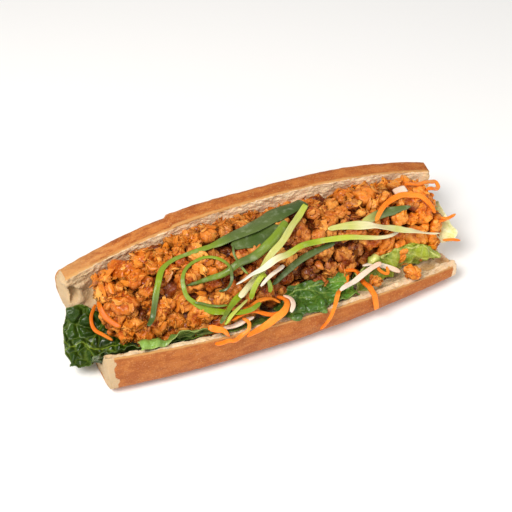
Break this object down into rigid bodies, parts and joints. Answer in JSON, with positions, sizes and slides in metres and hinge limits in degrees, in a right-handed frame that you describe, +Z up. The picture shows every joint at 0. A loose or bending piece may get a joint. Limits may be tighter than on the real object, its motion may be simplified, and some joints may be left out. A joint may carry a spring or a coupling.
{
  "type": "salt cod sandwich",
  "caption": "Split crusty loaf lying open, heaped with flaked salt cod over lettuce and topped with strips of spring onion, carrot and daikon.",
  "frame": {"origin": "under the middle of the loaf, on the surface that it rests on", "axes": "+Z up, +X along the loaf, -Y towards the low cut edge that faces the viewer"},
  "size_m": [0.2809, 0.1033, 0.0631],
  "materials": {
    "bread": "matte golden-brown crust with fine pale flour specks; cut faces are cream, torn and porous",
    "salt_cod": "moist orange flakes, soft sheen",
    "lettuce": "waxy crinkled leaf, paler veins",
    "scallion": "smooth waxy strip, white to dark green along its length",
    "carrot": "moist cut strip",
    "daikon": "moist translucent cut strip"
  },
  "bodies": {
    "root": {"bread": "bread", "salt_cod": "salt_cod", "cod_lump_large": "salt_cod", "cod_lump_small": "salt_cod", "lettuce_left": "lettuce", "lettuce_edge": "lettuce", "lettuce_middle": "lettuce", "lettuce_front": "lettuce", "lettuce_right": "lettuce", "lettuce_tip": "lettuce", "scallion_short": "scallion", "scallion_dark": "scallion", "scallion_under": "scallion", "scallion_blade": "scallion", "scallion_wisp": "scallion", "scallion_tube": "scallion", "scallion_ring": "scallion", "scallion_thread": "scallion", "scallion_fork": "scallion", "scallion_light": "scallion", "scallion_green": "scallion", "scallion_white": "scallion", "scallion_pale": "scallion", "scallion_loop": "scallion", "carrot_left": "carrot", "carrot_bottom": "carrot", "carrot_short": "carrot", "carrot_hook": "carrot", "carrot_cross": "carrot", "carrot_arc": "carrot", "carrot_loop": "carrot", "carrot_hanging": "carrot", "carrot_thick": "carrot", "carrot_curl": "carrot", "carrot_bow": "carrot", "carrot_far": "carrot", "carrot_end": "carrot", "carrot_tip": "carrot", "carrot_drop": "carrot", "daikon_sliver": "daikon", "daikon_left": "daikon", "daikon_end": "daikon", "daikon_arch": "daikon", "daikon_front": "daikon", "daikon_pink": "daikon"}
  },
  "joints": []
}
